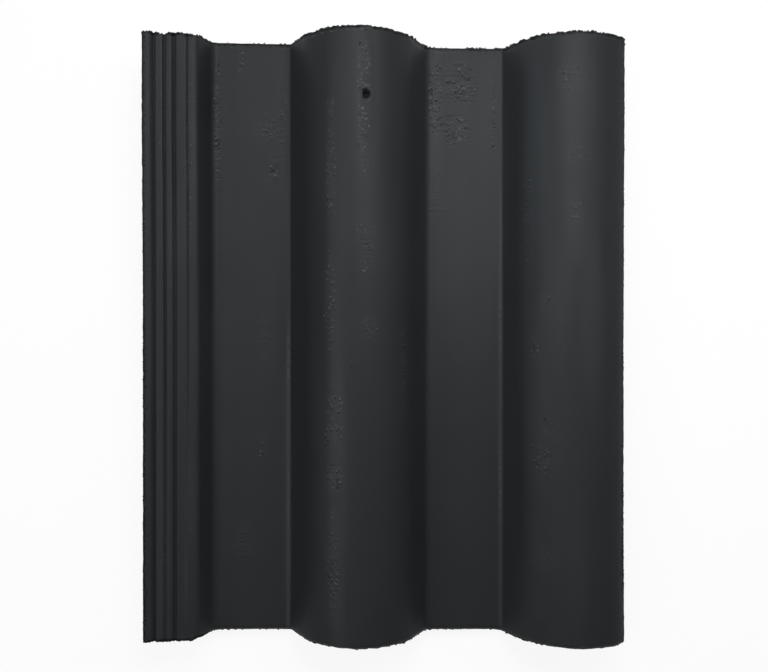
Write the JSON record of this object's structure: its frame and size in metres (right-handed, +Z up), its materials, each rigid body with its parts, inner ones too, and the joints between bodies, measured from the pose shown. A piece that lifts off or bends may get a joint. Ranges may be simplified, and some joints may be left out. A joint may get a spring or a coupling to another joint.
{
  "type": "concrete roof tile",
  "caption": "Interlocking double-roll roof tile with flat pans, grooved side underlap, overlap lip, nail hole and hanging nibs.",
  "frame": {"origin": "centre of the tile's footprint on the floor it rests on", "axes": "+Z up off the floor, +Y along the tile from the tail edge to the head edge with the nail hole, +X from the grooved underlap to the overlap lip; the tile leans by the height of its nibs, so its face is turned 1.899 degrees about +X from level"},
  "size_m": [0.33, 0.4206, 0.0667],
  "materials": {
    "concrete": "matte"
  },
  "bodies": {
    "root": {"tile": "concrete"}
  },
  "joints": []
}
